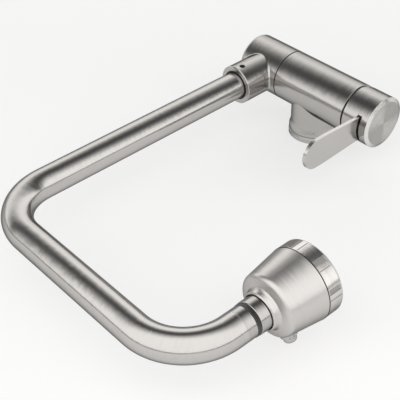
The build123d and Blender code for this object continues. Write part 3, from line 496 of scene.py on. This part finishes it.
BRASS = ((0.72, 0.53, 0.27), (0.58, 0.40, 0.18), 0.3)
PLAIN = ((0.60, 0.59, 0.58), (0.47, 0.46, 0.45), 0.24)
BLACKENED = ((0.11, 0.105, 0.10), (0.035, 0.034, 0.033), 0.4)
WORN_BLACK = ((0.17, 0.165, 0.16), (0.05, 0.048, 0.047), 0.3)
brass_on_body = turned_metal("turned_brass_on_body", BRASS, BODY_LINE)
brass_on_head = turned_metal("turned_brass_on_head", BRASS, HEAD_LINE)
brass_on_collar = turned_metal("turned_brass_on_collar", BRASS, COLLAR_LINE)
plain_on_body = turned_metal("plain_steel_on_body", PLAIN, BODY_LINE)
plain_on_head = turned_metal("plain_steel_on_head", PLAIN, HEAD_LINE)
plain_on_collar = turned_metal("plain_steel_on_collar", PLAIN, COLLAR_LINE)
black_on_body = turned_metal("black_steel_on_body", BLACKENED, BODY_LINE)
black_on_head = turned_metal("black_steel_on_head", BLACKENED, HEAD_LINE)
worn_black = turned_metal("black_steel_worn", WORN_BLACK, HEAD_LINE)
print("Other metals done")

# %% [markdown]
# Moulded plastic has a fine spark-eroded texture with a little sheen. Rubber is duller, with a faint
# dust in its pores. The ceramic discs are ground flat and polished, with tiny specks.

# %% Plastics, rubber and ceramic
DUST = 60.0
DUST_SHARE = 1.4
DUST_ROUGH = 0.12
PORES_SHARE = 0.5
PORES_ROUGH = 0.05
PORES_STRENGTH = 0.5


def moulded(name, light, dark, rough, pores, depth, coat=0.0):
    material, bench = new_finish(name)
    texture = bench.noise(bench.place(), pores)
    dust = bench.noise(bench.place(), DUST)
    colour = bench.blended(MIDDLE + dust * DUST_SHARE + texture * PORES_SHARE, dark, light)
    bump = {"Strength": PORES_STRENGTH, "Distance": depth, "Height": texture}
    bumped = bench.node("ShaderNodeBump", None, bump)
    roughness = rough + dust * DUST_ROUGH + texture * PORES_ROUGH
    surface(bench, colour, roughness, bumped, Coat_Weight=coat)
    return material


black_rubber = moulded(
    "black_rubber", light=(0.035, 0.034, 0.033), dark=(0.014, 0.014, 0.014),
    rough=0.62, pores=2600.0, depth=0.00008)
dark_plastic = moulded(
    "dark_plastic", light=(0.030, 0.029, 0.028), dark=(0.012, 0.012, 0.012),
    rough=0.5, pores=3200.0, depth=0.00005)
pale_plastic = moulded(
    "pale_plastic", light=(0.70, 0.69, 0.66), dark=(0.60, 0.59, 0.56),
    rough=0.42, pores=3000.0, depth=0.00004)
ceramic = moulded(
    "ceramic", light=(0.86, 0.85, 0.83), dark=(0.76, 0.75, 0.73),
    rough=0.18, pores=5200.0, depth=0.00001, coat=0.3)
print("Plastics, rubber and ceramic done")

# %% [markdown]
# Each CAD node keeps its mesh and gets its finish in its material slots. The finish is chosen by the slot
# in the record, and for metals also by the line that the piece was turned on, which follows from its body.

# %% Hand out the finishes
line_of_body = {"spout": 1, "head": 2, "socket": 2, "diverter": 2, "spray_face": 2}
special = {
    "valve_body": steel_neck_and_body,
    "swivel_barrel": steel_collar_and_barrel,
    "base_ring": steel_on_base,
    "lever_blade": steel_on_blade,
    "handle_cap": steel_on_cap,
    "head_shell": steel_on_shell,
    "front_ring": steel_on_ring,
}
# Each slot has its finish for the body's line, the collar's line and the head's line.
by_slot = {
    "satin_steel": (steel_on_body, steel_on_head, steel_on_head),
    "plain_steel": (plain_on_body, plain_on_collar, plain_on_head),
    "black_steel": (black_on_body, black_on_head, black_on_head),
    "brass": (brass_on_body, brass_on_collar, brass_on_head),
    "black_rubber": (black_rubber,) * 3,
    "dark_plastic": (dark_plastic,) * 3,
    "pale_plastic": (pale_plastic,) * 3,
    "ceramic": (ceramic,) * 3,
}


def finish_for(node, slot_name):
    if node in special:
        return special[node]
    return by_slot[slot_name][line_of_body.get(body_of_node[node], 0)]


for node, piece in frame["nodes"].items():
    for holder in piece.material_slots:
        holder.material = finish_for(node, holder.material.name.split(".")[0])
print("Finishes on", len(frame["nodes"]), "nodes")

# %% [markdown]
# The spout is one tube bent twice round a former. Its shape follows a rule, a circle swept along a line with
# rounded corners, so Geometry Nodes make it: the corners are rounded, each point stores how far along
# it lies and which way the tube runs there, and the circle is swept. Those two stored values carry the grain
# round the bends, which a CAD mesh can't do. The bore is added by thickening the wall inwards.

# %% Helpers for node trees that make shapes
def shape_tree(name, sizes):
    """A Geometry Nodes tree with a mesh in and out and the named sizes as inputs."""
    tree = bpy.data.node_groups.new(name, "GeometryNodeTree")
    tree.interface.new_socket(name="Geometry", in_out="INPUT", socket_type="NodeSocketGeometry")
    for size, (kind, value) in sizes.items():
        socket = tree.interface.new_socket(name=size, in_out="INPUT", socket_type="NodeSocket" + kind)
        if value is not None:
            socket.default_value = value
    tree.interface.new_socket(name="Geometry", in_out="OUTPUT", socket_type="NodeSocketGeometry")
    start = tree.nodes.new("NodeGroupInput")
    return tree, start, tree.nodes.new("NodeGroupOutput")


def shape_node(tree, kind, settings=None, inputs=None):
    made = tree.nodes.new(kind)
    for name, value in (settings or {}).items():
        setattr(made, name, value)
    for name, value in (inputs or {}).items():
        if isinstance(value, bpy.types.NodeSocket):
            tree.links.new(value, made.inputs[name])
        else:
            made.inputs[name].default_value = value
    return made


def grow(piece, name, tree, sizes):
    """Puts a shape tree on a piece, with its named sizes."""
    modifier = piece.modifiers.new(name, "NODES")
    modifier.node_group = tree
    for socket in tree.interface.items_tree:
        if socket.item_type == "SOCKET" and socket.in_out == "INPUT" and socket.name in sizes:
            modifier[socket.identifier] = sizes[socket.name]


def new_piece(name, data):
    """A new object in the scene that holds data."""
    piece = bpy.data.objects.new(name, data)
    bpy.context.scene.collection.objects.link(piece)
    return piece


def plain_mesh(source, name, sharp):
    """The finished shape of source as a plain mesh at the origin, with edges over an angle kept sharp."""
    evaluated = source.evaluated_get(bpy.context.evaluated_depsgraph_get())
    mesh = bpy.data.meshes.new_from_object(evaluated)
    mesh.name = name
    mesh.shade_smooth()
    mesh.set_sharp_from_angle(angle=math.radians(sharp))
    bpy.data.objects.remove(source)
    return new_piece(name, mesh)


print("Shape trees ready")

# %% The tree that bends the spout
BEND_STEPS = 40
ROUND_STEPS = 96
SPOUT_SHARP = 30

spout_tree, spout_in, spout_out = shape_tree("bent_tube", {
    "Tube Radius": ("Float", TUBE_RADIUS),
    "Bend Radius": ("Float", BEND_RADIUS),
    "Bend Steps": ("Int", BEND_STEPS),
    "Round Steps": ("Int", ROUND_STEPS),
    "Finish": ("Material", None),
})
rounded = shape_node(spout_tree, "GeometryNodeFilletCurve", {"mode": "POLY"}, {
    "Curve": spout_in.outputs["Geometry"],
    "Count": spout_in.outputs["Bend Steps"],
    "Radius": spout_in.outputs["Bend Radius"],
})
distance = shape_node(spout_tree, "GeometryNodeSplineParameter").outputs["Length"]
with_run = shape_node(
    spout_tree, "GeometryNodeStoreNamedAttribute", {"data_type": "FLOAT", "domain": "POINT"}, {
        "Geometry": rounded.outputs[0],
        "Name": "run",
        "Value": distance,
    })
heading = shape_node(spout_tree, "GeometryNodeInputTangent").outputs[0]
with_lay = shape_node(
    spout_tree, "GeometryNodeStoreNamedAttribute", {"data_type": "FLOAT_VECTOR", "domain": "POINT"}, {
        "Geometry": with_run.outputs[0],
        "Name": "lay",
        "Value": heading,
    })
section = shape_node(spout_tree, "GeometryNodeCurvePrimitiveCircle", None, {
    "Resolution": spout_in.outputs["Round Steps"],
    "Radius": spout_in.outputs["Tube Radius"],
})
swept = shape_node(spout_tree, "GeometryNodeCurveToMesh", None, {
    "Curve": with_lay.outputs[0],
    "Profile Curve": section.outputs["Curve"],
})
whole = shape_node(spout_tree, "GeometryNodeRealizeInstances", None, {"Geometry": swept.outputs[0]})
coated = shape_node(spout_tree, "GeometryNodeSetMaterial", None, {
    "Geometry": whole.outputs[0],
    "Material": spout_in.outputs["Finish"],
})
spout_tree.links.new(coated.outputs[0], spout_out.inputs[0])
print("Bent tube tree has", len(spout_tree.nodes), "nodes")

# %% Sweep the spout
route = bpy.data.curves.new("spout_route", "CURVE")
route.dimensions = "3D"
run_of_points = route.splines.new("POLY")
corners = [
    (COLLAR_X, -TUBE_START, AXIS_HEIGHT),
    (COLLAR_X, -REACH, AXIS_HEIGHT),
    (HEAD_X, -REACH, AXIS_HEIGHT),
    (HEAD_X, TUBE_END - REACH, AXIS_HEIGHT),
]
run_of_points.points.add(len(corners) - 1)
for point, corner in zip(run_of_points.points, corners):
    point.co = (*corner, 1)
route_piece = new_piece("spout_route", route)
grow(route_piece, "sweep", spout_tree, {
    "Tube Radius": TUBE_RADIUS, "Bend Radius": BEND_RADIUS, "Bend Steps": BEND_STEPS,
    "Round Steps": ROUND_STEPS, "Finish": steel_on_spout,
})
swept_shell = plain_mesh(route_piece, "spout_shell", SPOUT_SHARP)
walling = swept_shell.modifiers.new("wall", "SOLIDIFY")
walling.thickness = TUBE_WALL
walling.offset = -1
spout_piece = plain_mesh(swept_shell, "spout_bent_tube", SPOUT_SHARP)
outward = bmesh.new()
outward.from_mesh(spout_piece.data)
bmesh.ops.recalc_face_normals(outward, faces=outward.faces)
outward.to_mesh(spout_piece.data)
outward.free()
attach(spout_piece, body_of_node["spout_tube"])
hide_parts("spout_tube")
print("Spout:", len(spout_piece.data.polygons), "faces")

# %% [markdown]
# The grip ring on the swivel is rolled with a diamond knurl. A knurl is a pattern repeated round and along
# a cylinder, so one small four-sided tooth is placed on a staggered grid of points by Geometry Nodes.
# The ring under it is a plain turned ring with broken edges.

# %% The turned ring under the knurl
TOOTH_HIGH = 0.00045
RING_EDGE = 0.0003
RING_STEPS = 96


def turned_ring(name, corners_of_section, steps):
    """A ring round the head's line from (distance, radius) corners of its section, as a mesh."""
    shape = bmesh.new()
    loops = []
    for step in range(steps):
        turn = 2 * math.pi * step / steps
        loop = []
        for at, radius in corners_of_section:
            x = HEAD_X + radius * math.sin(turn)
            z = AXIS_HEIGHT + radius * math.cos(turn)
            loop.append(shape.verts.new((x, at - REACH, z)))
        loops.append(loop)
    for step, loop in enumerate(loops):
        other = loops[(step + 1) % steps]
        for corner in range(len(loop)):
            after = (corner + 1) % len(loop)
            shape.faces.new((loop[corner], loop[after], other[after], other[corner]))
    bmesh.ops.recalc_face_normals(shape, faces=shape.faces)
    mesh = bpy.data.meshes.new(name)
    shape.to_mesh(mesh)
    shape.free()
    return new_piece(name, mesh)


grip_low, grip_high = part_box("grip_ring")
grip_start = grip_low.y + REACH
grip_end = grip_high.y + REACH
grip_length = grip_end - grip_start
grip_radius = (grip_high.x - grip_low.x) / 2
root_radius = grip_radius - TOOTH_HIGH
bore_radius = TUBE_RADIUS - TUBE_WALL
ring_section = [
    (grip_start, bore_radius), (grip_end, bore_radius), (grip_end, root_radius - RING_EDGE),
    (grip_end - RING_EDGE, root_radius), (grip_start + RING_EDGE, root_radius),
    (grip_start, root_radius - RING_EDGE),
]
print("Grip ring runs", round(1000 * grip_length, 2), "mm at radius", round(1000 * grip_radius, 2), "mm")

# %% The knurl
KNURL_ROWS = 4
KNURL_ROUND = 64
KNURL_SHARP = 25
STAGGER = 0.5
TOOTH_TIP = 0.12
TOOTH_FOOT = 0.52

knurl_tree, knurl_in, knurl_out = shape_tree("diamond_knurl", {
    "Rows": ("Int", KNURL_ROWS),
    "Round": ("Int", KNURL_ROUND),
    "Root Radius": ("Float", root_radius),
    "Start": ("Float", grip_start),
    "Length": ("Float", grip_length),
    "Tooth Height": ("Float", TOOTH_HIGH),
    "Centre": ("Vector", None),
    "Finish": ("Material", None),
})


def knurl_maths(operation, first, second=0.0):
    made = shape_node(knurl_tree, "ShaderNodeMath", {"operation": operation}, {0: first, 1: second})
    return made.outputs[0]


size = knurl_in.outputs
tooth_count = knurl_maths("MULTIPLY", size["Rows"], size["Round"])
points = shape_node(knurl_tree, "GeometryNodePoints", None, {"Count": tooth_count})
number = shape_node(knurl_tree, "GeometryNodeInputIndex").outputs[0]
row = knurl_maths("FLOOR", knurl_maths("DIVIDE", number, size["Round"]))
place_in_row = knurl_maths("MODULO", number, size["Round"])
stagger = knurl_maths("MULTIPLY", knurl_maths("MODULO", row, 2.0), STAGGER)
share_round = knurl_maths("DIVIDE", knurl_maths("ADD", place_in_row, stagger), size["Round"])
turn = knurl_maths("MULTIPLY", share_round, 2 * math.pi)
row_share = knurl_maths("DIVIDE", knurl_maths("ADD", row, MIDDLE), size["Rows"])
distance_along = knurl_maths("ADD", size["Start"], knurl_maths("MULTIPLY", row_share, size["Length"]))
spoke_way = shape_node(knurl_tree, "ShaderNodeCombineXYZ", None, {
    0: knurl_maths("SINE", turn), 2: knurl_maths("COSINE", turn),
}).outputs[0]
on_root = shape_node(knurl_tree, "ShaderNodeVectorMath", {"operation": "SCALE"}, {
    0: spoke_way, 3: size["Root Radius"],
}).outputs[0]
down_line = shape_node(knurl_tree, "ShaderNodeCombineXYZ", None, {1: distance_along}).outputs[0]
from_centre = shape_node(knurl_tree, "ShaderNodeVectorMath", {"operation": "ADD"}, {0: on_root, 1: down_line})
tooth_place = shape_node(knurl_tree, "ShaderNodeVectorMath", {"operation": "ADD"}, {
    0: from_centre.outputs[0], 1: size["Centre"],
})
laid_out = shape_node(knurl_tree, "GeometryNodeSetPosition", None, {
    "Geometry": points.outputs[0], "Position": tooth_place.outputs[0],
})
upright = shape_node(knurl_tree, "FunctionNodeAlignRotationToVector", {"axis": "Z"}, {"Vector": spoke_way})
side = knurl_maths("DIVIDE", knurl_maths("MULTIPLY", size["Root Radius"], 2 * math.pi), size["Round"])
tooth = shape_node(knurl_tree, "GeometryNodeMeshCone", {"fill_type": "NGON"}, {
    "Vertices": 4,
    "Radius Top": knurl_maths("MULTIPLY", side, TOOTH_TIP),
    "Radius Bottom": knurl_maths("MULTIPLY", side, TOOTH_FOOT),
    "Depth": size["Tooth Height"],
})
teeth = shape_node(knurl_tree, "GeometryNodeInstanceOnPoints", None, {
    "Points": laid_out.outputs[0], "Instance": tooth.outputs["Mesh"], "Rotation": upright.outputs[0],
})
joined = shape_node(knurl_tree, "GeometryNodeJoinGeometry")
knurl_tree.links.new(teeth.outputs[0], joined.inputs[0])
knurl_tree.links.new(size["Geometry"], joined.inputs[0])
whole_ring = shape_node(knurl_tree, "GeometryNodeRealizeInstances", None, {"Geometry": joined.outputs[0]})
ring_coated = shape_node(knurl_tree, "GeometryNodeSetMaterial", None, {
    "Geometry": whole_ring.outputs[0], "Material": size["Finish"],
})
knurl_tree.links.new(ring_coated.outputs[0], knurl_out.inputs[0])
print("Knurl of", KNURL_ROWS * KNURL_ROUND, "teeth")

# %% Roll the knurl onto the ring
bare_ring = turned_ring("grip_blank", ring_section, RING_STEPS)
grow(bare_ring, "knurl", knurl_tree, {
    "Rows": KNURL_ROWS, "Round": KNURL_ROUND, "Root Radius": root_radius, "Start": grip_start,
    "Length": grip_length, "Tooth Height": TOOTH_HIGH, "Centre": HEAD_CENTRE, "Finish": worn_black,
})
grip_piece = plain_mesh(bare_ring, "knurled_grip", KNURL_SHARP)
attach(grip_piece, body_of_node["grip_ring"])
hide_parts("grip_ring")
print("Knurled grip:", len(grip_piece.data.polygons), "faces")

# %% [markdown]
# The photograph was taken from the user's right, about 39 degrees above the worktop and less than a metre
# away, so near parts look clearly larger. The camera is placed by its three angles and its distance.

# %% Camera
CAMERA_TURN = 0.865381
CAMERA_DOWN = 0.684348
CAMERA_ROLL = -0.034269
CAMERA_AT = Vector((0.45197, -0.52209, 0.47981))
FOCAL_SHARE = 2.3118
SENSOR = 36.0
NEAREST_SEEN = 0.01

level = Matrix.Rotation(CAMERA_TURN, 4, "Z") @ Matrix.Rotation(math.pi / 2 - CAMERA_DOWN, 4, "X")
camera = new_piece("photo_camera", bpy.data.cameras.new("photo_camera"))
camera.data.sensor_width = SENSOR
camera.data.lens = SENSOR * FOCAL_SHARE
camera.data.clip_start = NEAREST_SEEN
camera.matrix_world = Matrix.Translation(CAMERA_AT) @ level @ Matrix.Rotation(CAMERA_ROLL, 4, "Z")
bpy.context.scene.camera = camera
print("Lens", round(camera.data.lens, 1), "mm")

# %% [markdown]
# Metal shows its surroundings, so its light is a matter of what it can see. The photograph's bright and
# dark bands shift from piece to piece as they would under a lit screen close overhead: a near half and a
# far half with a dark gap between, about 0.7 m up. So the screen is a real sheet at that height, hidden
# from the camera, and a plain white world lies beyond its rim. A low dark skirting far away, which only
# reflections see, draws the thin dark line that runs along every round piece. Together they light a plain
# surface at about the strength at which its colour shows as it is.

# %% White world
world = bpy.data.worlds.new("studio")
world.use_nodes = True
bpy.context.scene.world = world
bench = Bench(world.node_tree)
sky = bench.node("ShaderNodeBackground", None, {"Color": (1, 1, 1, 1), "Strength": 1.0})
bench.node("ShaderNodeOutputWorld", None, {"Surface": sky})
print("World lit")

# %% Sheets that belong to the studio
def studio_piece(name, corners, faces, finish):
    mesh = bpy.data.meshes.new(name)
    mesh.from_pydata(corners, [], faces)
    mesh.materials.append(finish)
    piece = new_piece(name, mesh)
    return piece


def level_sheet(name, half, high, finish):
    rim = [(-half, -half, high), (half, -half, high), (half, half, high), (-half, half, high)]
    return studio_piece(name, rim, [(0, 1, 2, 3)], finish)


print("Sheets can be laid")

# %% The lit screen overhead
NEAR_LIGHT = 1.45
FAR_LIGHT = 1.45
GAP_LIGHT = 0.08
SCREEN_HALF = 6.0
SCREEN_HIGH = 0.70
SCREEN_COLOUR = (1.0, 0.995, 0.985)
GAP_WAY = (-0.7071, 0.7071, 0)
GAP_CENTRE = 0.12
NEAR_FROM = 0.05
NEAR_FULL = 0.50
FAR_FROM = 0.04
FAR_FULL = 0.72

lit_screen, bench = new_finish("lit_screen")
past_gap = bench.dot(bench.place(), GAP_WAY) - GAP_CENTRE
near_share = bench.rise(-past_gap, NEAR_FROM, NEAR_FULL)
far_share = bench.rise(past_gap, FAR_FROM, FAR_FULL)
strength = GAP_LIGHT + near_share * (NEAR_LIGHT - GAP_LIGHT) + far_share * (FAR_LIGHT - GAP_LIGHT)
glow = bench.node("ShaderNodeEmission", None, {"Color": SCREEN_COLOUR, "Strength": strength})
bench.node("ShaderNodeOutputMaterial", None, {"Surface": glow})
screen = level_sheet("lit_screen", SCREEN_HALF, SCREEN_HIGH, lit_screen)
screen.visible_camera = False
print("Screen hung", SCREEN_HIGH, "m up")

# %% The dark skirting
SKIRTING_RADIUS = 5.5
SKIRTING_HIGH = 0.42
SKIRTING_STEPS = 72
BOARD_DARK = (0.03, 0.03, 0.03)
BOARD_LIGHT = (0.06, 0.06, 0.06)
BOARD_MARKS = 3.0
BOARD_ROUGH = 0.9

dark_board, bench = new_finish("dark_board")
board_share = MIDDLE + bench.noise(bench.place(), BOARD_MARKS)
surface(bench, bench.blended(board_share, BOARD_DARK, BOARD_LIGHT), BOARD_ROUGH)
skirting_corners = []
for step in range(SKIRTING_STEPS):
    turn = 2 * math.pi * step / SKIRTING_STEPS
    for high in (0, SKIRTING_HIGH):
        skirting_corners.append((SKIRTING_RADIUS * math.cos(turn), SKIRTING_RADIUS * math.sin(turn), high))
around = len(skirting_corners)
skirting_faces = [(low, (low + 2) % around, (low + 3) % around, low + 1) for low in range(0, around, 2)]
skirting = studio_piece("dark_skirting", skirting_corners, skirting_faces, dark_board)
skirting.visible_camera = False
skirting.visible_diffuse = False
skirting.visible_shadow = False
print("Skirting of", len(skirting_faces), "boards")

# %% [markdown]
# The floor is a pale sheet. What the camera and the reflections see of it is partly its own plain white
# and partly the light that falls on it, so it reads as a white ground and still keeps the tap's shadow.

# %% Floor
FLOOR_HALF = 30.0
FLOOR_COLOUR = (0.93, 0.93, 0.925)
WHITE_SHARE = 0.55
PAPER_MARKS = 25.0
PAPER_SHADE = 0.985
PAPER_ROUGH = 0.9
PAPER_SHEEN = 0.1

pale_sheet, bench = new_finish("pale_sheet")
paper_share = MIDDLE + bench.noise(bench.place(), PAPER_MARKS)
shaded = tuple(PAPER_SHADE * part for part in FLOOR_COLOUR)
lit = bench.node("ShaderNodeBsdfPrincipled", None, {
    "Base Color": bench.blended(paper_share, shaded, FLOOR_COLOUR),
    "Roughness": PAPER_ROUGH,
    "Specular IOR Level": PAPER_SHEEN,
})
own_white = bench.node("ShaderNodeEmission", None, {"Color": (1, 1, 1, 1), "Strength": 1.0})
seen = bench.node("ShaderNodeLightPath", output="Is Camera Ray")
for kind_of_ray in ("Is Glossy Ray", "Is Transmission Ray"):
    seen = bench.maths("MAXIMUM", seen, bench.node("ShaderNodeLightPath", output=kind_of_ray))
mixed = bench.node("ShaderNodeMixShader", None, {0: seen * WHITE_SHARE, 1: lit, 2: own_white})
bench.node("ShaderNodeOutputMaterial", None, {"Surface": mixed})
level_sheet("floor", FLOOR_HALF, 0, pale_sheet)
bpy.context.scene.view_settings.view_transform = "Standard"
print("Floor laid")
